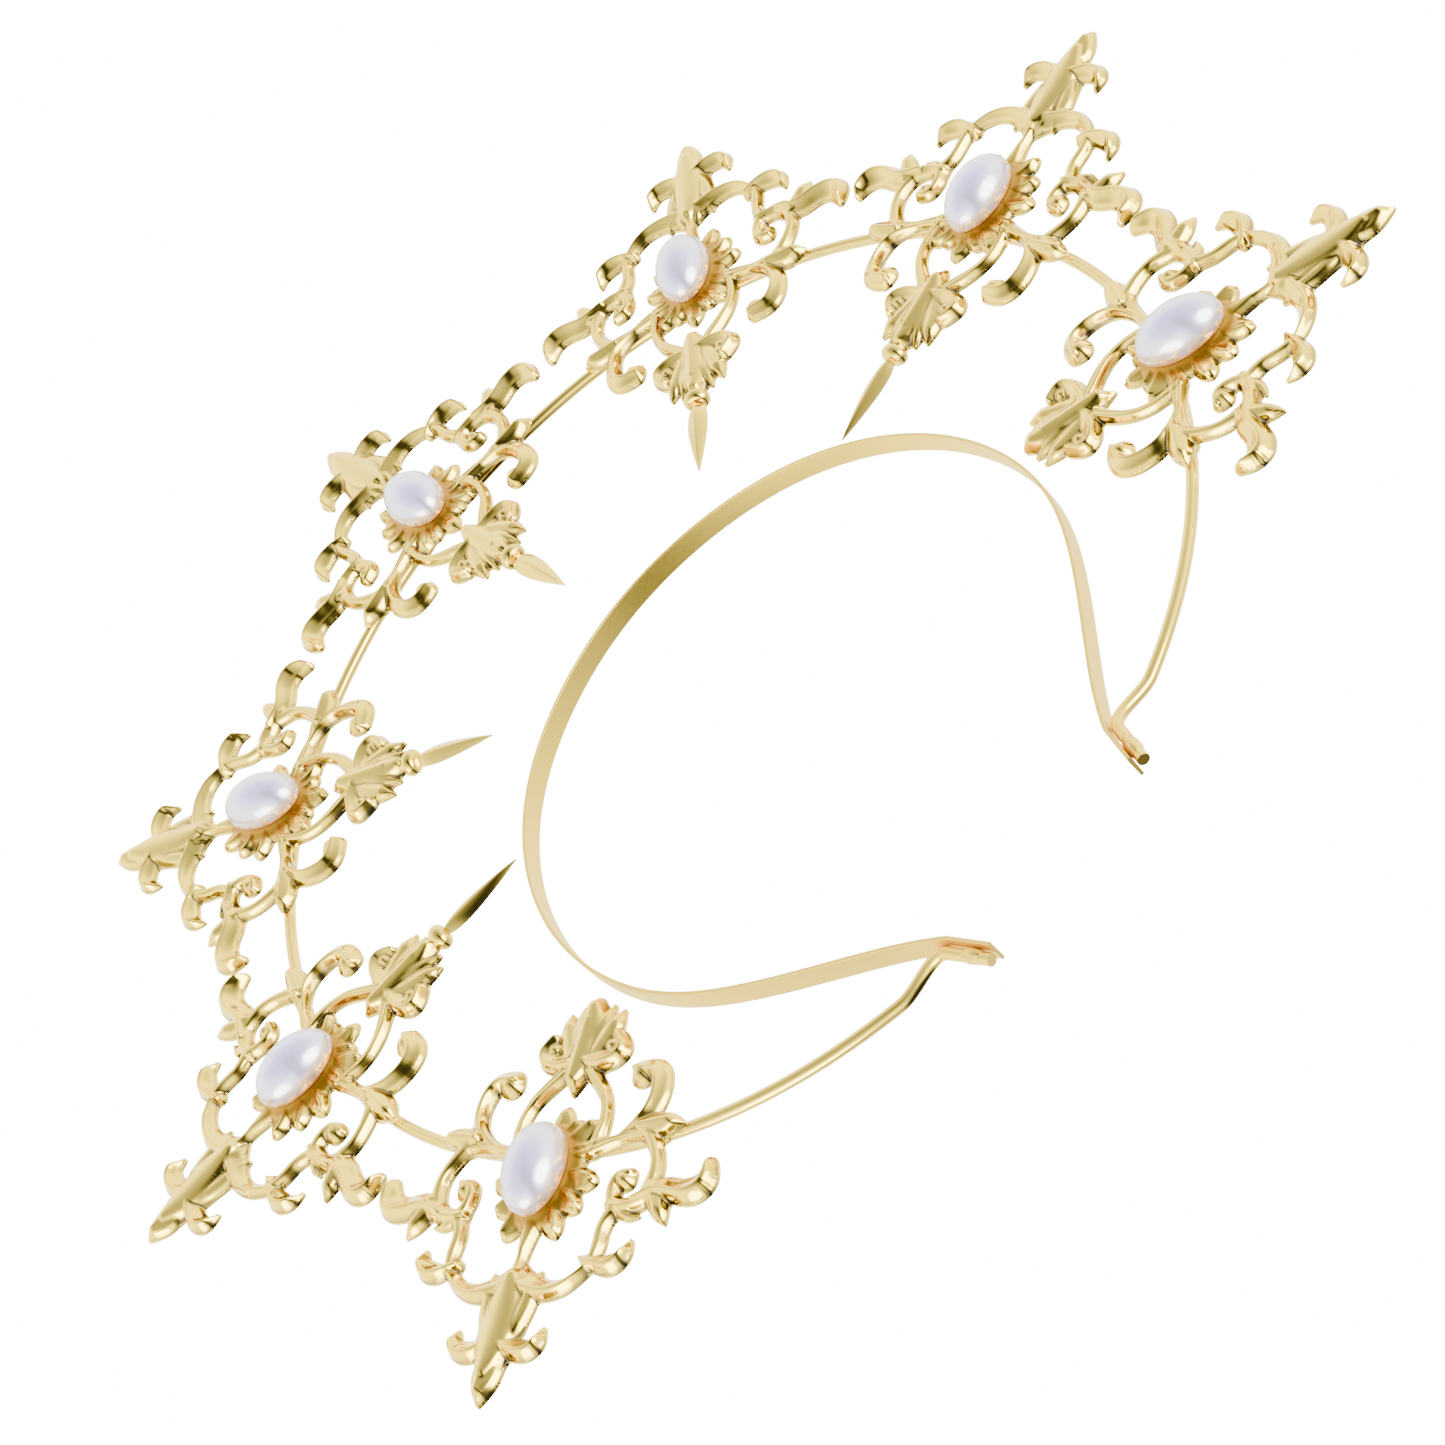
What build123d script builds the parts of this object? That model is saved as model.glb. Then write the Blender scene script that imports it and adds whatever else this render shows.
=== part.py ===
"""Halo crown headband: seven cast filigree ornaments with oval pearls on a wire ring.

Frame: +Z up as worn, +X to the right seen from the front, the pearls face -Y.
The origin is the centre of the halo ring. Millimetres.
"""

import os
from math import asin, cos, degrees, radians, sin

from build123d import *

# ---- halo ring and headband
RING_R = 104.0          # centreline radius of the halo wire
WIRE_D = 2.4
WIRE_Y = 2.3            # the wire runs behind the ornaments, 0.1 clear of their backs
RING_END = 160.0        # degrees from the top where the wire leaves the circle
BAND_W = 5.0            # along Y
BAND_T = 0.7
TIP_TOP = (22.6, -101.5)        # outer face of the band where its tip starts
TIP_LENGTH = 9.6
TIP_LEAN = 17.0         # degrees, the tips point down and a little inwards
TIP_GAP = 0.25          # solder thickness between the band tip and the wire
BAND_STATIONS = [       # half width and height of the band's centreline, top to bottom
    (0.0, 30.9),
    (21.7, 26.8),
    (43.1, 12.9),
    (57.2, -10.4),
    (60.5, -31.0),
    (56.8, -51.6),
    (45.0, -71.3),
    (33.6, -85.5),
]

# ---- ornaments
COUNT = 7
STEP = 40.0             # degrees between neighbours
DATUM_R = 100.5         # radius of the ornament's datum line through its side studs
BACK_Y = 1.0            # back face of every casting
BASE_T = 1.7            # thickness of the outline layer
RELIEF_T = 0.7          # raised middle of every scroll
RELIEF_SHARE = 0.5      # width of the raised middle against the scroll
SPIRE_RIDGE = [(0.0, 52.0), (3.0, 45.5), (0.0, 34.0), (-3.0, 45.5)]
RIDGE_H = 1.6           # height of the blade's centre ridge over the outline layer
RIDGE_TAPER = 60
STUD_A = 23.6
STUD_SIZE = (5.0, 3.6)
STUD_CORNER = 0.5
STUD_H = 1.5
STUD_TAPER = 40
BALL_H = 1.4            # how far the scroll ends rise

# ---- pearl
PEARL_B = 9.0           # pearl centre above the datum line
PEARL_W = 12.0
PEARL_L = 18.0
PEARL_SINK = 1.0        # how far the widest part stands above the flat underside
SEAT_Y = -1.9           # top of the boss that carries the pearl
GLUE_T = 0.25

FRONT_Y = BACK_Y - BASE_T
PEARL_Y = SEAT_Y - GLUE_T - PEARL_SINK  # widest part of the pearl

# Scrolls of the right half: (across, along, width) stations with the spire pointing up.
SCROLLS = {
    "upper_arm": [(3.0, 30.2, 5.6), (8.5, 31.0, 3.6), (12.2, 30.0, 2.9), (16.2, 26.2, 2.4)],
    "shoulder_hook": [
        (15.6, 25.6, 2.6), (18.3, 26.7, 3.2), (21.0, 26.4, 3.8),
        (23.0, 24.8, 2.8), (23.7, 22.4, 0.9),
    ],
    "frame_stem": [(16.2, 26.4, 2.4), (16.7, 23.0, 3.0), (16.7, 19.8, 2.8), (18.6, 15.6, 3.6)],
    "wing": [
        (17.8, 15.2, 3.4), (21.5, 15.2, 4.0), (26.0, 13.2, 4.4),
        (32.0, 13.2, 5.0), (36.0, 12.2, 5.2), (36.9, 8.2, 2.0),
    ],
    "wing_bud": [(26.0, 13.4, 4.6), (28.0, 16.4, 3.8), (30.0, 19.4, 0.6)],
    "inner_curl": [(17.9, 15.4, 3.6), (16.9, 12.8, 3.4), (18.2, 10.6, 4.6)],
    "wing_loop": [(24.9, 13.0, 3.8), (24.9, 8.0, 2.9), (23.6, 5.0, 3.0), (21.8, 1.6, 3.6)],
    "side_arm": [(6.5, 4.2, 3.6), (10.5, 3.4, 3.0), (15.0, 2.2, 2.2), (21.0, 1.4, 3.2)],
    "side_stud": [(20.8, 0.3, 4.2), (24.2, 0.0, 4.6), (27.8, -0.3, 0.6)],
    "lower_scroll": [
        (13.0, 2.5, 1.6), (19.6, -1.4, 3.2), (20.8, -5.0, 3.5),
        (18.4, -11.0, 3.8), (15.4, -10.4, 5.6),
    ],
    "tulip_arm": [(8.9, 4.0, 2.8), (9.7, -1.5, 2.5), (8.0, -6.6, 2.6), (3.2, -11.8, 3.2)],
    "cluster_lobe": [(3.0, -15.0, 5.0), (6.8, -16.1, 7.0)],
    "outer_leaflet": [(2.8, -16.5, 4.4), (4.4, -20.5, 3.6), (5.7, -24.4, 0.7)],
    "inner_leaflet": [(1.0, -17.0, 4.4), (1.7, -21.5, 3.4), (2.6, -25.6, 0.7)],
    "spire_curl": [(3.6, 42.0, 4.2), (7.0, 42.4, 3.8), (9.2, 41.2, 3.2), (9.8, 38.4, 1.1)],
}
# Centre pieces: the same stations, symmetric about the axis.
AXIAL = {
    "blade": [
        (0.0, 52.4, 0.8), (0.0, 47.5, 6.2), (0.0, 43.0, 9.4),
        (0.0, 38.0, 10.8), (0.0, 35.0, 10.4), (0.0, 30.6, 11.6),
    ],
    "spire_base": [(0.0, 32.0, 11.0), (0.0, 28.5, 9.4), (0.0, 26.4, 3.0)],
    "stem": [(0.0, 28.0, 4.0), (0.0, 24.8, 2.2), (0.0, 21.0, 3.8), (0.0, 17.0, 8.0)],
    "inner_tip": [(0.0, -7.4, 0.6), (0.0, -11.0, 3.8), (0.0, -16.0, 9.0)],
    "cluster": [(0.0, -14.0, 7.0), (0.0, -18.0, 10.6), (0.0, -22.0, 8.6), (0.0, -25.8, 3.0)],
}
# Tips of the pointed leaves round the pearl, right half and the one on the axis.
LEAF_TIPS = [(5.8, 20.6), (9.1, 15.6), (11.3, 10.2), (8.0, -1.5), (4.3, -1.6), (0.0, -4.6)]
LEAF_W = 3.6
LEAF_POINT = 0.6        # width at the very tip
LEAF_ROOT = (0.55, 0.6)     # share of the way out to the tip, across and along
LEAF_MID = (0.8, 0.82)
LEAF_MID_W = 0.85           # width there against the root
SEAT_RIM = (8.4, 11.0)  # half axes of the boss where it leaves the plate
SEAT_TOP = (5.6, 8.4)   # half axes of the flat that carries the pearl

# ---- bead and spear below the leaf cluster of the middle ornaments
NECK_W = 2.0
NECK_LENGTH = 6.0
BEAD_B = -27.9
BEAD_R = 2.4
BEAD_WIDEN = 1.2        # the bead's collar against its ball
BEAD_COLLAR = 1.2       # length of the collar
SPEAR = [               # height, half width and half depth of the faceted spear
    (-29.4, 1.5, 0.9),
    (-34.5, 2.4, 1.3),
    (-40.5, 1.9, 1.1),
    (-48.7, 0.2, 0.2),
]
SPEAR_Y = 0.0

# ---- solder
JOINT_A = 22.6          # where the wire is soldered to each ornament, left and right
JOINT_R = 2.4           # half width of the solder on the back face
JOINT_H = 2.7           # how far it rises over the wire
JOINT_SPAN = 2.2        # degrees of the ring covered by one joint
TIP_CAP = 0.4           # solder over the wire at the band tips
TIP_SOLDER_W = 3.6
TIP_SOLDER_SHARE = 0.7  # length of the solder against the tip
TIP_SOLDER_AT = 0.55    # middle of the solder along the tip
BAND_PULL = 2.2         # how strongly the band turns inwards above its tips
TOLERANCE = 1e-9

BALLS = [               # (across, along, radius) of the rounded scroll ends
    (15.4, -10.4, 2.7),
    (6.8, -16.1, 3.3),
    (18.2, 10.6, 2.2),
    (35.6, 12.4, 2.6),
    (21.0, 26.4, 1.8),
    (7.2, 42.3, 1.8),
]


def chord_shares(path):
    """Share of the path length reached at each station."""
    runs = [0.0]
    for (a0, b0, _), (a1, b1, _) in zip(path, path[1:]):
        runs.append(runs[-1] + ((a1 - a0) ** 2 + (b1 - b0) ** 2) ** 0.5)
    return [run / runs[-1] for run in runs]


def width_at(path, shares, u):
    """Width of the path at share u, between the stations on each side."""
    for i in range(1, len(path)):
        if u <= shares[i] + TOLERANCE:
            f = (u - shares[i - 1]) / (shares[i] - shares[i - 1])
            return path[i - 1][2] * (1 - f) + path[i][2] * f
    return path[-1][2]


def scroll_face(path, share=1.0):
    """Draw one tapered scroll with round ends into the open sketch."""
    spine = Edge.make_spline([(a, b) for a, b, _ in path])
    shares = chord_shares(path)
    steps = 3 * (len(path) - 1)
    left = []
    right = []
    for i in range(steps + 1):
        u = i / steps
        centre = spine @ u
        along = spine % u
        half = share * width_at(path, shares, u) / 2
        side = Vector(-along.Y, along.X) * half
        left.append(centre + side)
        right.append(centre - side)
    start = (spine @ 0) - (spine % 0) * (share * path[0][2] / 2)
    end = (spine @ 1) + (spine % 1) * (share * path[-1][2] / 2)
    with BuildLine() as outline:
        Spline(*left)
        ThreePointArc(left[-1], end, right[-1])
        Spline(*right)
        ThreePointArc(right[0], start, left[0])
    make_face(outline.edges())


def leaf_path(tip):
    """Stations of one pointed leaf from under the boss out to its tip."""
    a, b = tip
    root = (LEAF_ROOT[0] * a, PEARL_B + LEAF_ROOT[1] * (b - PEARL_B), LEAF_W)
    mid = (LEAF_MID[0] * a, PEARL_B + LEAF_MID[1] * (b - PEARL_B), LEAF_W * LEAF_MID_W)
    return [root, mid, (a, b, LEAF_POINT)]


def half_scrolls(share):
    """Draw the right half's scrolls and leaves, then mirror them to the left."""
    for path in SCROLLS.values():
        scroll_face(path, share)
    for tip in LEAF_TIPS:
        scroll_face(leaf_path(tip), share)
    mirror(about=Plane.YZ)


def make_ornament(with_spear):
    """One casting standing at the top of the ring, before it is moved to its place."""
    front = Plane.XZ.offset(-FRONT_Y)
    with BuildPart() as casting:
        with BuildSketch(Plane.XZ.offset(-BACK_Y)):
            half_scrolls(1.0)
            for path in AXIAL.values():
                scroll_face(path)
            with Locations((0, PEARL_B)):
                Ellipse(SEAT_RIM[0], SEAT_RIM[1])
        extrude(amount=BASE_T)
        with BuildSketch(front):
            half_scrolls(RELIEF_SHARE)
            for path in AXIAL.values():
                scroll_face(path, RELIEF_SHARE)
        extrude(amount=RELIEF_T)
        with BuildSketch(front):
            with Locations((0, PEARL_B)):
                Ellipse(SEAT_RIM[0], SEAT_RIM[1])
        with BuildSketch(Plane.XZ.offset(-SEAT_Y)):
            with Locations((0, PEARL_B)):
                Ellipse(SEAT_TOP[0], SEAT_TOP[1])
        loft()
        with BuildSketch(Plane((0, FRONT_Y, 0), x_dir=(1, 0, 0), z_dir=(0, -1, 0))):
            with BuildLine():
                Polyline(*SPIRE_RIDGE, close=True)
            make_face()
        extrude(amount=RIDGE_H, taper=RIDGE_TAPER)
        for side in (-1, 1):
            with BuildSketch(front):
                with Locations((side * STUD_A, 0)):
                    RectangleRounded(STUD_SIZE[0], STUD_SIZE[1], STUD_CORNER)
            extrude(amount=STUD_H, taper=STUD_TAPER)
            for a, b, r in BALLS:
                with Locations((side * a, FRONT_Y + r - BALL_H, b)):
                    Sphere(r)
        split(bisect_by=Plane((0, BACK_Y, 0), z_dir=(0, 1, 0)), keep=Keep.BOTTOM)
        if with_spear:
            with Locations((0, SPEAR_Y, (SPEAR[0][0] + AXIAL["cluster"][-1][1]) / 2)):
                Cylinder(NECK_W / 2, NECK_LENGTH)
            with Locations((0, SPEAR_Y, BEAD_B)):
                Cylinder(BEAD_R * BEAD_WIDEN, BEAD_COLLAR)
                Sphere(BEAD_R)
            for height, half_w, half_d in SPEAR:
                with BuildSketch(Plane.XY.offset(height)):
                    with Locations((0, SPEAR_Y)):
                        with BuildLine():
                            Polyline((half_w, 0), (0, half_d), (-half_w, 0), (0, -half_d), close=True)
                        make_face()
            loft(ruled=False)
    return casting.part


def place(index):
    """Location of ornament 0..6, from the left end of the row to the right end."""
    turn = (index - (COUNT - 1) / 2) * STEP
    return Location((0, 0, 0), (0, turn, 0)) * Location((0, 0, DATUM_R))


def flipped(v):
    """The same point on the left."""
    return Vector(-v.X, v.Y, v.Z)


tip_dir = Vector(-sin(radians(TIP_LEAN)), 0, -cos(radians(TIP_LEAN)))
tip_out = Vector(cos(radians(TIP_LEAN)), 0, -sin(radians(TIP_LEAN)))
tip_top = Vector(TIP_TOP[0], 0, TIP_TOP[1])

os.makedirs("parts", exist_ok=True)

# ---- halo wire: a circle open at the bottom, its ends bent down along the band tips
tip_offset = tip_out * (TIP_GAP + WIRE_D / 2)
wire_top = tip_top + tip_offset
wire_end = wire_top + tip_dir * TIP_LENGTH
ring_end = Vector(RING_R * sin(radians(RING_END)), WIRE_Y, RING_R * cos(radians(RING_END)))
ring_dir = Vector(cos(radians(RING_END)), 0, -sin(radians(RING_END)))

with BuildPart() as halo_wire:
    with BuildLine() as wire_path:
        Line(flipped(wire_end), flipped(wire_top))
        Spline(
            flipped(wire_top),
            flipped(ring_end),
            tangents=[flipped(tip_dir) * -1, flipped(ring_dir) * -1],
        )
        ThreePointArc(flipped(ring_end), (0, WIRE_Y, RING_R), ring_end)
        Spline(ring_end, wire_top, tangents=[ring_dir, tip_dir])
        Line(wire_top, wire_end)
    with BuildSketch(Plane(flipped(wire_end), z_dir=flipped(tip_dir) * -1)):
        Circle(WIRE_D / 2)
    sweep(path=wire_path.wires()[0])
halo_wire.part.label = "halo_wire"
export_step(halo_wire.part, "parts/halo_wire.step")

# ---- headband: one flat strip bent to an omega, square-cut tips
tip_inner = tip_top - tip_out * (BAND_T / 2)
with BuildPart() as headband:
    with BuildSketch(Plane.XZ.offset(-BAND_W / 2)):
        with BuildLine() as band_line:
            stations = BAND_STATIONS + [(tip_inner.X, tip_inner.Z)]
            half = Spline(*stations, tangents=[(1, 0), (tip_dir.X * BAND_PULL, tip_dir.Z)])
            end = (tip_inner.X + tip_dir.X * TIP_LENGTH, tip_inner.Z + tip_dir.Z * TIP_LENGTH)
            Line(half @ 1, end)
            mirror(about=Plane.YZ)
        trace(line_width=BAND_T)
    extrude(amount=BAND_W)
headband.part.label = "headband"
export_step(headband.part, "parts/headband.step")

# ---- ornaments, pearls, their adhesive and the solder joints on the wire
plain_casting = make_ornament(with_spear=False)
spear_casting = make_ornament(with_spear=True)

for number in range(1, COUNT + 1):
    index = number - 1
    at_end = number in (1, COUNT)
    with BuildPart() as filigree:
        with Locations(place(index)):
            add(plain_casting if at_end else spear_casting)
    filigree.part.label = f"filigree_{number}"
    export_step(filigree.part, f"parts/filigree_{number}.step")

    with BuildPart() as pearl_glue:
        with BuildSketch(Plane.XZ.offset(-SEAT_Y)):
            with Locations((0, PEARL_B)):
                Ellipse(SEAT_TOP[0], SEAT_TOP[1])
        extrude(amount=GLUE_T)
    with BuildPart() as placed_glue:
        with Locations(place(index)):
            add(pearl_glue.part)
    placed_glue.part.label = f"pearl_glue_{number}"
    export_step(placed_glue.part, f"parts/pearl_glue_{number}.step")

    with BuildPart() as pearl:
        Sphere(PEARL_W / 2, rotation=(90, 0, 0))
        split(bisect_by=Plane((0, PEARL_SINK, 0), z_dir=(0, -1, 0)))
        scale(by=(1, 1, PEARL_L / PEARL_W))
    with BuildPart() as placed_pearl:
        with Locations(place(index) * Location((0, PEARL_Y, PEARL_B))):
            add(pearl.part)
    placed_pearl.part.label = f"pearl_{number}"
    export_step(placed_pearl.part, f"parts/pearl_{number}.step")

    turn = (index - (COUNT - 1) / 2) * STEP
    with BuildPart() as wire_solder:
        for side in (-1, 1):
            angle = turn + side * degrees(asin(JOINT_A / RING_R)) - JOINT_SPAN / 2
            radial = (sin(radians(angle)), 0, cos(radians(angle)))
            at = (RING_R * radial[0], BACK_Y, RING_R * radial[2])
            with BuildSketch(Plane(at, x_dir=radial, z_dir=(-radial[2], 0, radial[0]))):
                Ellipse(JOINT_R, JOINT_H)
                split(bisect_by=Plane.XZ, keep=Keep.BOTTOM)
                with Locations((0, WIRE_Y - BACK_Y)):
                    Circle(WIRE_D / 2, mode=Mode.SUBTRACT)
            revolve(axis=Axis.Y, revolution_arc=JOINT_SPAN)
    wire_solder.part.label = f"wire_solder_{number}"
    export_step(wire_solder.part, f"parts/wire_solder_{number}.step")

# ---- solder that holds each wire end to its band tip
blob_t = TIP_GAP + WIRE_D + TIP_CAP
blob_at = tip_top + tip_dir * (TIP_LENGTH * TIP_SOLDER_AT) + tip_out * (blob_t / 2)
for name, turned in (("tip_solder_right", 1), ("tip_solder_left", -1)):
    with BuildPart() as tip_solder:
        with Locations(Location((turned * blob_at.X, 0, blob_at.Z), (0, turned * TIP_LEAN, 0))):
            Box(blob_t, TIP_SOLDER_W, TIP_LENGTH * TIP_SOLDER_SHARE)
            with Locations((turned * (TIP_GAP + WIRE_D / 2 - blob_t / 2), 0, 0)):
                Cylinder(WIRE_D / 2, TIP_LENGTH, mode=Mode.SUBTRACT)
    tip_solder.part.label = name
    export_step(tip_solder.part, f"parts/{name}.step")
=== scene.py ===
"""Halo crown headband: the looks of the crown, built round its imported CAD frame.

Metres, +Z up as worn, the pearls face -Y, and the origin is the centre of the halo ring.
Every casting is worked out in its own millimetres: a is across, b runs outwards along the
spire, and h rises towards the viewer.
"""

from math import cos, pi, radians, sin, sqrt

import bmesh
import bpy
import numpy as np
from mathutils import Matrix, Vector
from mathutils.geometry import delaunay_2d_cdt


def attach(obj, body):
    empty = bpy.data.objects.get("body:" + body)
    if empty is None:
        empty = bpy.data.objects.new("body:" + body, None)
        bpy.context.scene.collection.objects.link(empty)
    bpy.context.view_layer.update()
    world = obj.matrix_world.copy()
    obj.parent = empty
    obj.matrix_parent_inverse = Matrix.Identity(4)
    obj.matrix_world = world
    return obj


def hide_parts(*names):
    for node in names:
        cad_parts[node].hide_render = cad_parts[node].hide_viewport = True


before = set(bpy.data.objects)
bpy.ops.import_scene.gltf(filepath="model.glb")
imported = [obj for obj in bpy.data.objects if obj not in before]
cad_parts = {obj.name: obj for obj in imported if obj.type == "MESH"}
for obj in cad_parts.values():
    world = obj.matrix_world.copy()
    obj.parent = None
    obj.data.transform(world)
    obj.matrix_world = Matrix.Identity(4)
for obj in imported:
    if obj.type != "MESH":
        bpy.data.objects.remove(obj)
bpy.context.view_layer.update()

bl_info = {
    "name": "Halo crown",
    "version": (1, 0, 0),
    "blender": (4, 5, 0),
    "location": "View3D > Sidebar > Crown",
    "description": "Builds a halo crown headband with cast filigree ornaments and oval pearls",
    "category": "Add Mesh",
}

MM = 0.001
BODY = "root"
COUNT = 7
STEP = radians(40)
RING_END = radians(160)
DATUM_R = 100.5             # radius of the line through an ornament's side studs
BACK_H = -1.0               # back of a casting
WIRE_H = -2.3               # the halo wire runs behind the castings
PEARL_B = 9.0               # pearl centre above the datum line
SEAT_H = 1.9
GLUE_T = 0.25
PEARL_SINK = 1.0            # how far the pearl's widest part stands above its underside
GRID = 0.2                  # spacing of a casting's surface points
SMALL = 1e-9

TIP_TOP = (22.6, -101.5)    # outer face of the band where its tip starts
TIP_LENGTH = 9.6
TIP_LEAN = radians(17)
TIP_GAP = 0.25
BAND_CORNER = 0.3           # corner radius in band thicknesses
WIRE_CORNER = 0.499         # just under half the wire's thickness, which makes it round
BAND_STATIONS = [           # half width and height of the band's middle, top to bottom
    (0.0, 30.9),
    (21.7, 26.8),
    (43.1, 12.9),
    (57.2, -10.4),
    (60.5, -31.0),
    (56.8, -51.6),
    (45.0, -71.3),
    (33.6, -85.5),
]

# Lobes of a casting's right half roll over from a steep outer wall to a dished face: stations
# (a, b, width), where the crest runs (-1 to 1, positive to the left of the path), its height
# and how far the face dips.
LOBES = [
    ([(3.0, 30.0, 5.4), (8.5, 31.0, 4.0), (12.2, 30.0, 3.2), (16.4, 26.2, 2.4)], 0.15, 2.1, 0.65),
    (
        [(14.9, 25.6, 2.6), (18.2, 26.6, 3.5), (21.0, 26.5, 4.4), (23.1, 24.9, 3.0), (23.7, 22.3, 0.9)],
        0.2, 2.5, 0.7,
    ),
    ([(17.4, 15.6, 3.0), (21.5, 15.4, 3.6), (25.6, 13.6, 4.0)], 0.15, 2.0, 0.4),
    (
        [(23.0, 14.4, 3.0), (28.0, 12.7, 4.8), (32.2, 13.4, 5.2), (36.0, 12.4, 5.6), (36.9, 8.2, 2.2)],
        0.2, 2.7, 0.7,
    ),
    (
        [(13.0, 2.7, 1.4), (19.5, -1.4, 3.2), (20.8, -5.2, 3.8), (18.6, -11.2, 4.2), (14.9, -11.7, 3.6)],
        -0.25, 2.4, 0.65,
    ),
    ([(1.4, -14.2, 4.0), (5.6, -13.9, 4.2), (8.7, -15.8, 4.0), (7.4, -18.6, 3.0)], 0.2, 2.4, 0.45),
    ([(1.8, 40.8, 2.8), (6.4, 42.3, 4.4), (9.0, 41.4, 3.5), (9.8, 38.4, 1.1)], 0.2, 2.4, 0.7),
]
# Rounded arms: stations, height, and the depth of the groove along the middle.
ARMS = [
    ([(16.4, 26.6, 2.4), (16.8, 23.0, 2.9), (16.7, 19.8, 2.9), (18.4, 15.6, 3.4)], 1.6, 0.0),
    ([(17.9, 15.8, 3.2), (16.7, 12.8, 2.9), (17.3, 10.0, 2.7), (19.4, 9.3, 2.4)], 1.8, 0.0),
    ([(24.6, 13.4, 3.8), (24.9, 8.2, 2.9), (23.6, 5.0, 3.0), (21.2, 1.6, 3.6)], 1.7, 0.0),
    ([(6.5, 4.4, 4.0), (10.5, 3.5, 3.2), (15.0, 2.3, 2.4), (21.0, 1.6, 3.2)], 1.7, 0.3),
    ([(8.9, 4.4, 2.8), (9.7, -1.5, 2.5), (8.0, -6.6, 2.6), (3.2, -11.8, 3.0), (1.4, -14.0, 2.4)], 1.7, 0.2),
    ([(0.0, 17.0, 5.0), (0.0, 21.0, 3.4), (0.0, 24.8, 2.3), (0.0, 29.0, 3.4)], 1.7, 0.0),
]
# Pointed leaves with a ridge along the middle: stations, the ridge's height and its softness.
LEAVES = [
    ([(26.2, 13.4, 4.6), (28.0, 16.4, 4.0), (29.9, 19.3, 0.7)], 2.0, 0.5),
    ([(19.6, 16.0, 3.4), (21.4, 17.4, 2.2), (23.6, 17.6, 0.8)], 1.5, 0.8),
    ([(20.2, 0.4, 4.2), (23.8, 0.0, 4.9), (27.8, -0.3, 0.7)], 2.6, 0.1),
    ([(2.8, -15.6, 5.0), (4.8, -20.0, 4.6), (6.2, -24.2, 0.9)], 1.7, 0.7),
    ([(1.6, -17.5, 3.4), (2.7, -22.0, 3.2), (3.5, -25.4, 0.9)], 1.9, 0.7),
    ([(3.0, 39.5, 3.0), (3.9, 36.0, 3.9), (4.6, 31.5, 3.6), (5.4, 27.6, 0.9)], 1.6, 0.6),
    ([(1.6, 31.5, 3.6), (1.8, 28.6, 3.2), (1.4, 26.3, 1.0)], 1.8, 0.6),
    ([(0.0, -21.0, 4.0), (0.0, -16.0, 6.0), (0.0, -12.0, 5.2), (0.0, -7.4, 0.7)], 2.8, 0.7),
    ([(0.0, -15.0, 5.0), (0.0, -19.5, 6.4), (0.0, -23.5, 5.0), (0.0, -26.4, 2.0)], 2.6, 0.9),
    (
        [
            (0.0, 26.8, 1.6), (0.0, 31.0, 6.0), (0.0, 37.0, 8.2),
            (0.0, 42.0, 7.4), (0.0, 46.0, 4.4), (0.0, 50.0, 0.9),
        ],
        2.7, 1.0,
    ),
    ([(0.0, 43.0, 3.4), (0.0, 45.8, 6.4), (0.0, 48.8, 4.9), (0.0, 52.4, 0.7)], 2.4, 0.0),
]
# Plain rounded masses: stations, then the height.
MASSES = [
    ([(0.0, 43.0, 8.0), (0.0, 38.0, 10.6), (0.0, 35.0, 10.2), (0.0, 31.6, 11.2)], 1.2),
    ([(0.0, -14.5, 7.0), (0.0, -18.0, 10.0), (0.0, -22.0, 8.0)], 1.2),
    ([(15.3, -10.3, 5.0), (15.5, -10.3, 5.0)], 2.2),
    ([(18.6, 10.6, 4.2), (18.7, 10.6, 4.2)], 2.0),
    ([(6.7, -16.6, 3.8), (6.8, -16.6, 3.8)], 2.1),
]
# Tips of the pointed leaves round the pearl, right half and the one on the axis.
RAY_TIPS = [(5.8, 20.6), (9.1, 15.6), (11.3, 10.2), (8.0, -1.5), (4.3, -1.6), (0.0, -4.6)]
RAY_W = 4.9
RAY_H = 1.7
RAY_CREST = -0.35
RAY_DIP = 0.55
SEAT_RIM = (8.2, 10.8)
SEAT_TOP = (5.6, 8.4)
EDGE_H = -0.35              # height of a casting's edge against its middle plane
EDGE_ROUND = 0.8
CREASE_SHADE_FROM = 0.03          # depth below the neighbourhood where the painted crease shade starts
CREASE_SHADE_SPAN = 0.4
WALL_LEVELS = (0.1, 0.5, 0.9, 1.0)      # rings of points down a casting's side wall
JOIN_EASE = 0.7             # softness of the corners between joined shapes
CREASE_EASE = 0.3
FAR_OUT = -99.0             # inset where no element has been laid yet
SEAT_FOOT = 1.0             # height of the casting's face at the foot of the boss
SEAT_COVE = 1.6             # how hollow the boss's flank is
EDGE_SHARES = (0.08, 0.92)  # limits for an outline point's place between two surface points
BOSS_SHADE_REACH = 1.12           # reach of the painted shade and amber glow on the boss, in boss sizes, and the width of its fade
BOSS_SHADE_FADE = 0.25
SHARP_ANGLE = radians(65)

NECK = [(-24.0, 0.9), (-25.6, 1.0), (-26.1, 1.6)]      # b and radius of the neck above the bead
BEAD_B = -27.9
BEAD_HALF = 1.9             # half the bead's height
BEAD_BELLY = 2.9 * 0.75     # how far the bead stands out from its own ends
BEAD_END = 0.75
BEAD_DEPTH = 0.86           # the bead's depth against its width
SPEAR_SIDES = 24
SPEAR = [                   # b, half width and half depth of the faceted spear
    (-29.2, 1.2, 0.9),
    (-31.0, 2.0, 1.3),
    (-34.5, 2.5, 1.5),
    (-40.5, 1.9, 1.25),
    (-45.5, 0.9, 0.7),
    (-48.6, 0.15, 0.15),
]
JOINT_A = 22.6


# ---------------------------------------------------------------- curves and meshes


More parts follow.
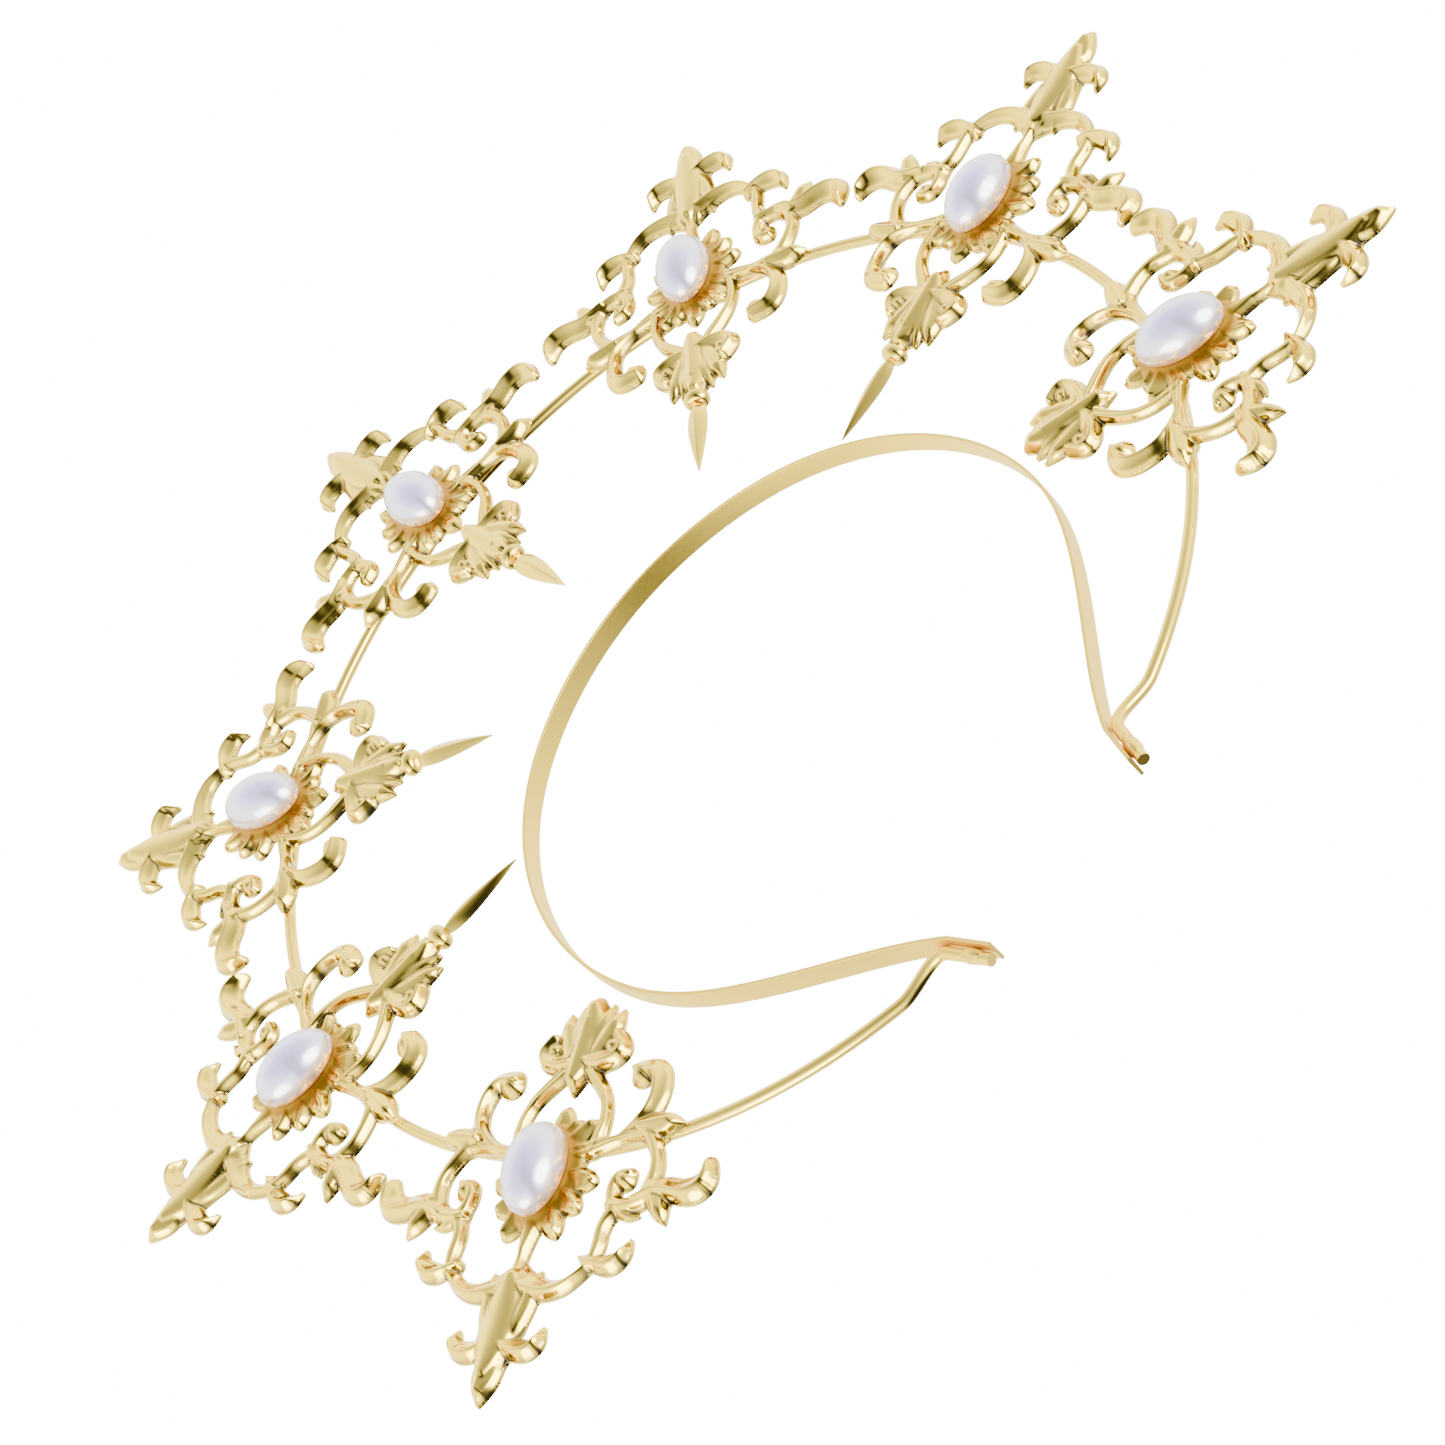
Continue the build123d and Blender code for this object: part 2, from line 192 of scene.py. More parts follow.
def cubic(t, p0, d0, p1, d1, reach):
    """Points of a cubic from p0 to p1 with the slopes d0 and d1 at its ends."""
    return (
        (2 * t**3 - 3 * t**2 + 1) * p0
        + (t**3 - 2 * t**2 + t) * reach * d0
        + (3 * t**2 - 2 * t**3) * p1
        + (t**3 - t**2) * reach * d1
    )


def smooth_path(stations, per_span, ends=None):
    """Points of a smooth curve through the stations, with even bending across each one."""
    p = np.array(stations, float)
    n = len(p)
    run = np.r_[0, np.cumsum(np.linalg.norm(np.diff(p[:, :2], axis=0), axis=1))]
    step = np.diff(run)
    if n == 2:
        return p[0] + (p[1] - p[0]) * np.linspace(0, 1, per_span + 1)[:, None]
    m = np.zeros((n, n))
    r = np.zeros_like(p)
    for i in range(1, n - 1):
        m[i, i - 1] = step[i]
        m[i, i] = 2 * (step[i - 1] + step[i])
        m[i, i + 1] = step[i - 1]
        r[i] = 3 * (
            step[i] * (p[i] - p[i - 1]) / step[i - 1] + step[i - 1] * (p[i + 1] - p[i]) / step[i]
        )
    if ends is None:
        m[0, :2] = (2, 1)
        r[0] = 3 * (p[1] - p[0]) / step[0]
        m[-1, -2:] = (1, 2)
        r[-1] = 3 * (p[-1] - p[-2]) / step[-1]
    else:
        m[0, 0] = m[-1, -1] = 1
        r[0], r[-1] = ends
    slope = np.linalg.solve(m, r)
    out = []
    for i in range(n - 1):
        t = np.linspace(0, 1, per_span + 1)[:, None]
        if i < n - 2:
            t = t[:-1]
        out.append(cubic(t, p[i], slope[i], p[i + 1], slope[i + 1], step[i]))
    return np.vstack(out)


def new_mesh(name, verts, faces, attributes=None):
    """A smooth-shaded mesh in metres from points in millimetres."""
    mesh = bpy.data.meshes.new(name)
    mesh.from_pydata([tuple(v) for v in np.asarray(verts, float) * MM], [], faces)
    mesh.shade_smooth()
    for key, values in (attributes or {}).items():
        layer = mesh.attributes.new(key, "FLOAT", "POINT")
        layer.data.foreach_set("value", np.asarray(values, np.float32))
    mesh.update()
    return mesh


def ring_faces(rings, size):
    """Faces of a skin over rings of equal size, closed by fans to two points that follow them."""
    faces = []
    for i in range(rings - 1):
        for j in range(size):
            k = (j + 1) % size
            faces.append((i * size + j, i * size + k, (i + 1) * size + k, (i + 1) * size + j))
    first = rings * size
    last = (rings - 1) * size
    for j in range(size):
        k = (j + 1) % size
        faces.append((k, j, first))
        faces.append((last + j, last + k, first + 1))
    return faces


def outward(mesh):
    """Turn every face of a closed mesh outwards."""
    bm = bmesh.new()
    bm.from_mesh(mesh)
    bmesh.ops.recalc_face_normals(bm, faces=bm.faces)
    bm.to_mesh(mesh)
    bm.free()


def to_row(points):
    """Points (a, b, h) of an ornament at the top of the ring, as x, y, z from the ring's centre."""
    p = np.asarray(points, float)
    return np.stack([p[:, 0], -p[:, 2], p[:, 1] + DATUM_R], axis=1)


def add_piece(name, mesh, nodes):
    """Put a finished mesh in the scene: it rides on the one body and stands for its CAD nodes."""
    piece = bpy.data.objects.new(name, mesh)
    bpy.context.scene.collection.objects.link(piece)
    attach(piece, BODY)
    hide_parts(*nodes)
    return piece


# ---------------------------------------------------------------- the casting's relief


def joined(high, other, ease):
    """The larger of two fields, eased where they cross."""
    mix = np.clip(0.5 + 0.5 * (high - other) / ease, 0, 1)
    return other + (high - other) * mix + ease * mix * (1 - mix)


class Relief:
    """Height and inset of one casting over a grid of points in its right half."""

    def __init__(self, a, b):
        self.a = a
        self.b = b
        self.inset = np.full(a.shape, FAR_OUT)
        self.height = np.full(a.shape, EDGE_H - 9)

    def path_fields(self, stations):
        """Inset from the edge, side (-1 to 1, positive to the left) and half width along a path."""
        path = smooth_path(stations, 9)
        low = path[:, :2].min(0) - 6
        high = path[:, :2].max(0) + 6
        near = (self.a > low[0]) & (self.a < high[0]) & (self.b > low[1]) & (self.b < high[1])
        a = self.a[near]
        b = self.b[near]
        inset = np.full(a.shape, FAR_OUT)
        side = np.zeros(a.shape)
        half = np.ones(a.shape)
        for (a0, b0, w0), (a1, b1, w1) in zip(path, path[1:]):
            da, db = a1 - a0, b1 - b0
            length2 = da * da + db * db + SMALL
            t = np.clip(((a - a0) * da + (b - b0) * db) / length2, 0, 1)
            off_a = a - a0 - t * da
            off_b = b - b0 - t * db
            hw = 0.5 * (w0 + t * (w1 - w0))
            here = hw - np.hypot(off_a, off_b)
            better = here > inset
            inset[better] = here[better]
            across = (da * off_b - db * off_a) / sqrt(length2)
            side[better] = (across / hw)[better]
            half[better] = hw[better]
        return near, inset, np.clip(side, -1, 1), half

    def merge(self, near, inset, rise):
        """Join one element to the casting: outlines and surfaces flow into each other."""
        self.inset[near] = joined(self.inset[near], inset, JOIN_EASE)
        height = EDGE_H + np.where(inset < 0, 3 * inset, rise)
        self.height[near] = joined(self.height[near], height, CREASE_EASE)

    @staticmethod
    def edge_round(inset, reach=EDGE_ROUND):
        return np.sin(np.clip(inset / reach, 0, 1) * pi / 2)

    def lobe(self, stations, crest, height, dip):
        near, inset, side, half = self.path_fields(stations)
        toward = side * np.sign(crest)
        c = abs(crest)
        up = np.clip((1 - toward) / (1 - c), 0, 1)
        over = np.clip((c - toward) / (1 + c), 0, 1)
        wall = np.sin(up * pi / 2)
        face = 1 - dip * np.sin(over * pi / 2)
        thin = np.clip(half / 1.5, 0.45, 1)
        self.merge(near, inset, height * thin * wall * face * self.edge_round(inset))

    def arm(self, stations, height, groove):
        near, inset, side, half = self.path_fields(stations)
        thin = np.clip(half / 1.3, 0.5, 1)
        cut = groove * np.clip(1 - np.abs(side) / 0.4, 0, 1)
        self.merge(near, inset, height * thin * np.sqrt(1 - side**2) * (1 - cut) * self.edge_round(inset))

    def leaf(self, stations, ridge, softness):
        near, inset, side, half = self.path_fields(stations)
        thin = np.clip(half / 1.8, 0.4, 1)
        roof = 1 - 0.6 * np.abs(side)
        dome = np.sqrt(1 - side**2)
        shape = roof * (1 - softness) + dome * softness
        self.merge(near, inset, ridge * thin * shape * self.edge_round(inset))

    def mass(self, stations, height):
        near, inset, side, half = self.path_fields(stations)
        self.merge(near, inset, height * self.edge_round(inset, half))

    def seat(self):
        """The raised boss under the pearl, with a hollow cove round it."""
        reach_rim = np.hypot(self.a / SEAT_RIM[0], (self.b - PEARL_B) / SEAT_RIM[1])
        reach_top = np.hypot(self.a / SEAT_TOP[0], (self.b - PEARL_B) / SEAT_TOP[1])
        near = reach_rim < 1.1
        rim = reach_rim[near]
        top = reach_top[near]
        part = np.clip((1 - rim) / np.maximum(SMALL, 1 - rim + np.maximum(0, top - 1)), 0, 1)
        rise = SEAT_FOOT + (SEAT_H - EDGE_H - SEAT_FOOT) * part**SEAT_COVE
        inset = (1 - rim) * SEAT_RIM[0]
        self.merge(near, inset, rise * self.edge_round(inset))


def ray_path(tip):
    """Stations of one pointed leaf from under the boss out to its tip."""
    a, b = tip
    rise = b - PEARL_B
    return [
        (0.60 * a, PEARL_B + 0.64 * rise, RAY_W),
        (0.84 * a, PEARL_B + 0.85 * rise, RAY_W * 0.86),
        (a, b, 1.3),
    ]


def relief_at(a, b):
    """Inset and height of the casting at points of its right half."""
    relief = Relief(a, b)
    for stations, height in MASSES:
        relief.mass(stations, height)
    for stations, crest, height, dip in LOBES:
        relief.lobe(stations, crest, height, dip)
    for stations, height, groove in ARMS:
        relief.arm(stations, height, groove)
    for tip in RAY_TIPS:
        relief.lobe(ray_path(tip), RAY_CREST, RAY_H, RAY_DIP)
    for stations, ridge, softness in LEAVES:
        relief.leaf(stations, ridge, softness)
    relief.seat()
    return relief.inset, np.maximum(relief.height, EDGE_H)


def blurred(field, times):
    """The field with sharp creases eased, as plating and polishing leave them."""
    out = field.copy()
    for _ in range(times):
        p = np.pad(out, 1, mode="edge")
        out = 0.5 * p[1:-1, 1:-1] + 0.125 * (p[:-2, 1:-1] + p[2:, 1:-1] + p[1:-1, :-2] + p[1:-1, 2:])
    return out


def between_rims(tris, rim):
    """The triangles on the left of the rim's edges, found by spreading from each to the next."""
    owner = {}
    for n, tri in enumerate(tris):
        for k in range(3):
            owner[tri[k], tri[(k + 1) % 3]] = n
    walls = set(rim) | {(v1, v0) for v0, v1 in rim}
    kept = {owner[edge] for edge in rim}
    todo = sorted(kept)
    while todo:
        tri = tris[todo.pop()]
        for k in range(3):
            v0, v1 = tri[k], tri[(k + 1) % 3]
            if (v0, v1) not in walls and owner[v1, v0] not in kept:
                kept.add(owner[v1, v0])
                todo.append(owner[v1, v0])
    return [tris[n] for n in sorted(kept)]


def casting_shell():
    """Points, faces and masks of the casting without its spear, at the top of the ring."""
    half_a = np.arange(0, 41, GRID)
    all_b = np.arange(-29, 55, GRID)
    a_half, b_half = np.meshgrid(half_a, all_b)
    inset, height = relief_at(a_half.ravel(), b_half.ravel())
    inset = inset.reshape(a_half.shape)
    height = height.reshape(a_half.shape)
    inset = blurred(inset, 1)
    smooth = blurred(height, 3)
    wide = blurred(height, 40)
    inset = np.hstack([inset[:, :0:-1], inset])
    smooth = np.hstack([smooth[:, :0:-1], smooth])
    wide = np.hstack([wide[:, :0:-1], wide])
    all_a = np.r_[-half_a[:0:-1], half_a]
    rows, cols = inset.shape

    index = {}
    points = []
    heights = []
    neighbour_heights = []

    def put(key, i0, j0, i1, j1, t):
        if key not in index:
            index[key] = len(points)
            points.append(
                (all_a[j0] * (1 - t) + all_a[j1] * t, all_b[i0] * (1 - t) + all_b[i1] * t)
            )
            heights.append(smooth[i0, j0] * (1 - t) + smooth[i1, j1] * t)
            neighbour_heights.append(wide[i0, j0] * (1 - t) + wide[i1, j1] * t)
        return index[key]

    def crossing(i0, j0, i1, j1):
        s0, s1 = inset[i0, j0], inset[i1, j1]
        t = min(EDGE_SHARES[1], max(EDGE_SHARES[0], s0 / (s0 - s1)))
        return put((i0, j0, i1, j1), i0, j0, i1, j1, t)

    tops = []
    rim = []
    inside = inset > 0
    for i in range(rows - 1):
        for j in range(cols - 1):
            corners = ((i, j), (i, j + 1), (i + 1, j + 1), (i + 1, j))
            flags = [inside[c] for c in corners]
            if not any(flags):
                continue
            loop = []
            cuts = []
            for n in range(4):
                c0, c1 = corners[n], corners[(n + 1) % 4]
                if flags[n]:
                    loop.append(put(c0, *c0, *c0, 0))
                if flags[n] != flags[(n + 1) % 4]:
                    low, high = min(c0, c1), max(c0, c1)
                    v = crossing(*low, *high)
                    cuts.append((len(loop), flags[n]))
                    loop.append(v)
            tops.append(tuple(loop))
            for n in range(len(loop)):
                here = [c for c in cuts if c[0] == n]
                after = [c for c in cuts if c[0] == (n + 1) % len(loop)]
                if here and after and here[0][1] and not after[0][1]:
                    rim.append((loop[n], loop[(n + 1) % len(loop)]))

    flat = np.array(points)
    top_h = np.array(heights)
    # painted shade in the creases: how far each point lies below its blurred neighbourhood
    crease_shade = np.clip((np.array(neighbour_heights) - top_h - CREASE_SHADE_FROM) / CREASE_SHADE_SPAN, 0, 1)
    count = len(flat)
    verts = [np.c_[flat, top_h]]
    faces = list(tops)

    rim_points = sorted({v for edge in rim for v in edge})
    place = {v: n for n, v in enumerate(rim_points)}
    size = len(rim_points)
    for share in WALL_LEVELS:
        h = top_h[rim_points] * (1 - share) + BACK_H * share
        verts.append(np.c_[flat[rim_points], h])
    steps = len(WALL_LEVELS)
    for v0, v1 in rim:
        chain0 = [v0] + [count + k * size + place[v0] for k in range(steps)]
        chain1 = [v1] + [count + k * size + place[v1] for k in range(steps)]
        for k in range(steps):
            faces.append((chain0[k + 1], chain1[k + 1], chain1[k], chain0[k]))

    ring = [Vector(flat[v]) for v in rim_points]
    edges = [(place[v0], place[v1]) for v0, v1 in rim]
    _, _, tris, same, _, _ = delaunay_2d_cdt(ring, edges, [], 0, SMALL)
    tris = [tuple(same[v][0] for v in tri) for tri in tris]
    last = count + (steps - 1) * size
    for tri in between_rims(tris, edges):
        faces.append(tuple(last + v for v in reversed(tri)))
    verts = np.vstack(verts)
    masks = np.zeros(len(verts))
    masks[:count] = crease_shade
    return verts, faces, masks


def spear_rings():
    """Rings of points round the neck, bead and faceted spear, from the cluster inwards."""
    turn = np.linspace(0, 2 * pi, SPEAR_SIDES + 1)[:-1]
    across = np.cos(turn)
    up = np.sin(turn)
    facets = (np.abs(across) + np.abs(up)) ** 0.8

    def ring(b, w, d):
        return np.c_[w * across, np.full(SPEAR_SIDES, b), d * up]

    rings = [ring(b, r, r) for b, r in NECK]
    for part in np.linspace(-0.85, 0.85, 9):
        r = BEAD_BELLY * sqrt(1 - part**2) + BEAD_END
        rings.append(ring(BEAD_B - BEAD_HALF * part, r, BEAD_DEPTH * r))
    return rings + [ring(b, w / facets, d / facets) for b, w, d in smooth_path(SPEAR, 6)]


def casting_mesh(name, shell, with_spear):
    """Mesh of one casting at the top of the ring."""
    verts, faces, masks = shell
    if with_spear:
        rings = spear_rings()
        start = len(verts)
        ends = [rings[0].mean(0), rings[-1].mean(0)]
        extra = ring_faces(len(rings), len(rings[0]))
        faces = faces + [tuple(v + start for v in f) for f in extra]
        verts = np.vstack([verts] + rings + [ends])
        masks = np.r_[masks, np.zeros(len(verts) - len(masks))]
    # painted shade and reflected amber glow on the front of the boss round the pearl
    reach = np.hypot(verts[:, 0] / SEAT_RIM[0], (verts[:, 1] - PEARL_B) / SEAT_RIM[1])
    boss_shade = np.clip((BOSS_SHADE_REACH - reach) / BOSS_SHADE_FADE, 0, 1) * (verts[:, 2] > 0)
    mesh = new_mesh(name, to_row(verts), faces, {"crease_shade": masks, "boss_shade": boss_shade})
    outward(mesh)
    mesh.set_sharp_from_angle(angle=SHARP_ANGLE)
    return mesh


# ---------------------------------------------------------------- node trees


def add_node(tree, kind, **settings):
    """A node of that kind with its plain settings made."""
    node = tree.nodes.new(kind)
    for key, value in settings.items():
        setattr(node, key, value)
    return node


def set_inputs(node, values):
    """Set a node's unlinked inputs by name."""
    for key, value in values.items():
        node.inputs[key].default_value = value


def geometry_tree(name, sockets):
    """An empty geometry tree with a geometry in and out and the named inputs."""
    tree = bpy.data.node_groups.new(name, "GeometryNodeTree")
    tree.interface.new_socket("Geometry", in_out="INPUT", socket_type="NodeSocketGeometry")
    for label, kind, default in sockets:
        item = tree.interface.new_socket(label, in_out="INPUT", socket_type=kind)
        if default is not None:
            item.default_value = default
    tree.interface.new_socket("Geometry", in_out="OUTPUT", socket_type="NodeSocketGeometry")
    return tree


def finish_tree(tree, geometry, source):
    """Realize, set the material and send the result out."""
    real = add_node(tree, "GeometryNodeRealizeInstances")
    paint = add_node(tree, "GeometryNodeSetMaterial")
    out = add_node(tree, "NodeGroupOutput")
    tree.links.new(geometry, real.inputs[0])
    tree.links.new(real.outputs[0], paint.inputs["Geometry"])
    tree.links.new(source.outputs["Material"], paint.inputs["Material"])
    tree.links.new(paint.outputs[0], out.inputs[0])


def math_node(tree, operation, a, b=None):
    """A math node whose inputs are sockets or numbers."""
    node = add_node(tree, "ShaderNodeMath", operation=operation)
    for socket, value in zip(node.inputs, (a, b)):
        if value is None:
            continue
        if isinstance(value, (int, float)):
            socket.default_value = value
        else:
            tree.links.new(value, socket)
    return node.outputs[0]


def row_tree():
    """Sets copies of a piece round the ring, all the same way out, and keeps the one asked for."""
    name = "ornament_row"
    if name in bpy.data.node_groups:
        return bpy.data.node_groups[name]
    tree = geometry_tree(
        name,
        [
            ("Count", "NodeSocketInt", COUNT),
            ("Step", "NodeSocketFloat", STEP),
            ("Keep", "NodeSocketInt", 0),
            ("Material", "NodeSocketMaterial", None),
        ],
    )
    source = add_node(tree, "NodeGroupInput")
    points = add_node(tree, "GeometryNodePoints")
    tree.links.new(source.outputs["Count"], points.inputs["Count"])
    number = add_node(tree, "GeometryNodeInputIndex").outputs[0]
    middle = math_node(tree, "MULTIPLY", math_node(tree, "SUBTRACT", source.outputs["Count"], 1.0), 0.5)
    turn = math_node(tree, "MULTIPLY", math_node(tree, "SUBTRACT", number, middle), source.outputs["Step"])
    angles = add_node(tree, "ShaderNodeCombineXYZ")
    tree.links.new(turn, angles.inputs["Y"])
    as_rotation = add_node(tree, "FunctionNodeEulerToRotation")
    tree.links.new(angles.outputs[0], as_rotation.inputs[0])
    other = add_node(tree, "FunctionNodeCompare", data_type="INT", operation="NOT_EQUAL")
    tree.links.new(number, other.inputs[2])
    tree.links.new(source.outputs["Keep"], other.inputs[3])
    placed = add_node(tree, "GeometryNodeInstanceOnPoints")
    tree.links.new(points.outputs[0], placed.inputs["Points"])
    tree.links.new(source.outputs["Geometry"], placed.inputs["Instance"])
    tree.links.new(as_rotation.outputs[0], placed.inputs["Rotation"])
    only = add_node(tree, "GeometryNodeDeleteGeometry", domain="INSTANCE")
    tree.links.new(placed.outputs[0], only.inputs["Geometry"])
    tree.links.new(other.outputs[0], only.inputs["Selection"])
    finish_tree(tree, only.outputs[0], source)
    return tree


def sweep_tree():
    """Sweeps a rounded bar or a round wire along a path."""
    name = "bar_along_path"
    if name in bpy.data.node_groups:
        return bpy.data.node_groups[name]
    tree = geometry_tree(
        name,
        [
            ("Width", "NodeSocketFloat", 0.005),
            ("Thickness", "NodeSocketFloat", 0.001),
            ("Corner", "NodeSocketFloat", 0.0002),
            ("Material", "NodeSocketMaterial", None),
        ],
    )
    source = add_node(tree, "NodeGroupInput")
    bar = add_node(tree, "GeometryNodeCurvePrimitiveQuadrilateral", mode="RECTANGLE")
    tree.links.new(source.outputs["Width"], bar.inputs["Width"])
    tree.links.new(source.outputs["Thickness"], bar.inputs["Height"])
    corner = add_node(tree, "GeometryNodeFilletCurve", mode="POLY")
    tree.links.new(bar.outputs[0], corner.inputs["Curve"])
    tree.links.new(source.outputs["Corner"], corner.inputs["Radius"])
    set_inputs(corner, {"Count": 8, "Limit Radius": True})
    swept = add_node(tree, "GeometryNodeCurveToMesh")
    tree.links.new(source.outputs["Geometry"], swept.inputs["Curve"])
    tree.links.new(corner.outputs[0], swept.inputs["Profile Curve"])
    swept.inputs["Fill Caps"].default_value = True
    smooth = add_node(tree, "GeometryNodeSetShadeSmooth")
    tree.links.new(swept.outputs[0], smooth.inputs["Geometry"])
    finish_tree(tree, smooth.outputs[0], source)
    return tree


def run_tree(name, data, tree, values, material):
    """The mesh that a geometry tree makes from mesh or curve data."""
    maker = bpy.data.objects.new(name + "_maker", data)
    bpy.context.scene.collection.objects.link(maker)
    modifier = maker.modifiers.new("maker", "NODES")
    modifier.node_group = tree
    for item in tree.interface.items_tree:
        if item.item_type == "SOCKET" and item.in_out == "INPUT" and item.name in values:
            modifier[item.identifier] = values[item.name]
        if item.item_type == "SOCKET" and item.name == "Material":
            modifier[item.identifier] = material
    graph = bpy.context.evaluated_depsgraph_get()
    mesh = bpy.data.meshes.new_from_object(maker.evaluated_get(graph))
    mesh.name = name
    bpy.data.objects.remove(maker)
    if not mesh.polygons:
        raise RuntimeError(f"{name} came out empty")
    return mesh


def path_curve(name, points):
    """A curve through points in millimetres."""
    curve = bpy.data.curves.new(name, "CURVE")
    curve.dimensions = "3D"
    line = curve.splines.new("POLY")
    line.points.add(len(points) - 1)
    for spot, p in zip(line.points, points):
        spot.co = (p[0] * MM, p[1] * MM, p[2] * MM, 1)
    return curve


# ---------------------------------------------------------------- materials


def shader_group(name, inputs, outputs):
    """An empty shader group with the named sockets."""
    group = bpy.data.node_groups.new(name, "ShaderNodeTree")
    for label, kind, default in inputs:
        group.interface.new_socket(label, in_out="INPUT", socket_type=kind).default_value = default
    for label, kind in outputs:
        group.interface.new_socket(label, in_out="OUTPUT", socket_type=kind)
    return group


def plating_group():
    """Colour of gold-tone plating: faint random clouds of a darker tone, painted shade in the creases, and
    painted shade with an amber glow on the boss beside the pearl.
    """
    name = "plating_tone"
    if name in bpy.data.node_groups:
        return bpy.data.node_groups[name]
    group = shader_group(
        name,
        [
            ("Light", "NodeSocketColor", (1, 1, 1, 1)),
            ("Shade And Cloud", "NodeSocketColor", (0, 0, 0, 1)),
            ("Boss Shade", "NodeSocketColor", (1, 0.5, 0.1, 1)),
            ("Cloud Scale", "NodeSocketFloat", 60.0),
        ],
        [("Color", "NodeSocketColor")],
    )
    source = add_node(group, "NodeGroupInput")
    out = add_node(group, "NodeGroupOutput")
    where = add_node(group, "ShaderNodeTexCoord")
    cloud = add_node(group, "ShaderNodeTexNoise")
    group.links.new(where.outputs["Object"], cloud.inputs["Vector"])
    group.links.new(source.outputs["Cloud Scale"], cloud.inputs["Scale"])
    crease_shade = add_node(group, "ShaderNodeAttribute", attribute_name="crease_shade")
    boss_shade = add_node(group, "ShaderNodeAttribute", attribute_name="boss_shade")
    cloudy = math_node(group, "MULTIPLY", cloud.outputs["Fac"], 0.08)
    # random clouds of tone and the painted crease shade both mix towards the darker colour
    cloud_and_shade = math_node(group, "MAXIMUM", cloudy, crease_shade.outputs["Fac"])
    body = add_node(group, "ShaderNodeMix", data_type="RGBA")
    group.links.new(cloud_and_shade, body.inputs["Factor"])
    group.links.new(source.outputs["Light"], body.inputs["A"])
    group.links.new(source.outputs["Shade And Cloud"], body.inputs["B"])
    # painted shade and amber glow on the boss beside the pearl
    glow = add_node(group, "ShaderNodeMix", data_type="RGBA")
    group.links.new(math_node(group, "MULTIPLY", boss_shade.outputs["Fac"], 0.85), glow.inputs["Factor"])
    group.links.new(body.outputs["Result"], glow.inputs["A"])
    group.links.new(source.outputs["Boss Shade"], glow.inputs["B"])
    group.links.new(glow.outputs["Result"], out.inputs["Color"])
    return group


def polish_group():
    """Fine unevenness of a tumbled and plated surface: roughness and a slight waviness."""
    name = "polish_marks"
    if name in bpy.data.node_groups:
        return bpy.data.node_groups[name]
    group = shader_group(
        name,
        [
            ("Smoothness", "NodeSocketFloat", 0.12),
            ("Spread", "NodeSocketFloat", 0.1),
            ("Grain Scale", "NodeSocketFloat", 900.0),
            ("Wave Scale", "NodeSocketFloat", 350.0),
            ("Wave Depth", "NodeSocketFloat", 0.00002),
        ],
        [("Roughness", "NodeSocketFloat"), ("Normal", "NodeSocketVector")],
    )
    source = add_node(group, "NodeGroupInput")
    out = add_node(group, "NodeGroupOutput")
    where = add_node(group, "ShaderNodeTexCoord")
    grain = add_node(group, "ShaderNodeTexNoise")
    set_inputs(grain, {"Detail": 3})
    wave = add_node(group, "ShaderNodeTexNoise")
    set_inputs(wave, {"Detail": 1})
    group.links.new(where.outputs["Object"], grain.inputs["Vector"])
    group.links.new(where.outputs["Object"], wave.inputs["Vector"])
    group.links.new(source.outputs["Grain Scale"], grain.inputs["Scale"])
    group.links.new(source.outputs["Wave Scale"], wave.inputs["Scale"])
    extra = math_node(group, "MULTIPLY", grain.outputs["Fac"], source.outputs["Spread"])
    # the boss's painted-shade mask also makes it more satin
    boss_shade = add_node(group, "ShaderNodeAttribute", attribute_name="boss_shade").outputs["Fac"]
    satin = math_node(group, "MULTIPLY", boss_shade, 0.3)
    rough = math_node(group, "ADD", math_node(group, "ADD", source.outputs["Smoothness"], extra), satin)
    bump = add_node(group, "ShaderNodeBump")
    set_inputs(bump, {"Strength": 1, "Distance": 1})
    height = math_node(group, "MULTIPLY", wave.outputs["Fac"], source.outputs["Wave Depth"])
    group.links.new(height, bump.inputs["Height"])
    group.links.new(rough, out.inputs["Roughness"])
    group.links.new(bump.outputs[0], out.inputs["Normal"])
    return group


def place_group(tree, group, values):
    """A group node in a material with its own values."""
    node = add_node(tree, "ShaderNodeGroup", node_tree=group)
    set_inputs(node, values)
    return node


def new_material(name):
    """A material with its principled shader, ready for its own nodes."""
    material = bpy.data.materials.new(name)
    material.use_nodes = True
    return material, material.node_tree, material.node_tree.nodes["Principled BSDF"]


# Finish of each gold-tone metal: smoothness and its spread, then the depth and scale of its waviness.
GOLD_FINISHES = {
    "cast_gold": (0.09, 0.08, 0.00001, 350.0),
    "wire_gold": (0.05, 0.05, 0.000006, 350.0),
    "band_gold": (0.40, 0.10, 0.000006, 140.0),
    "solder_gold": (0.28, 0.25, 0.00012, 900.0),
}
PEARL_RIM_RISE = 3.2        # how far up a pearl its painted gold reflection and glow at the rim fades out


def gold_material(name):
    """Gold-tone plated metal in one of the finishes."""
    if name in bpy.data.materials:
        return bpy.data.materials[name]
    material, tree, shader = new_material(name)
    sizes = bpy.context.scene.crown
    tones = {"Light": sizes.gold_light, "Shade And Cloud": sizes.gold_shade_and_cloud, "Boss Shade": sizes.boss_shade_and_glue}
    tone = place_group(tree, plating_group(), {key: (*colour, 1) for key, colour in tones.items()})
    keys = ("Smoothness", "Spread", "Wave Depth", "Wave Scale")
    marks = place_group(tree, polish_group(), dict(zip(keys, GOLD_FINISHES[name])))
    set_inputs(shader, {"Metallic": 1})
    tree.links.new(tone.outputs["Color"], shader.inputs["Base Color"])
    tree.links.new(marks.outputs["Roughness"], shader.inputs["Roughness"])
    tree.links.new(marks.outputs["Normal"], shader.inputs["Normal"])
    return material


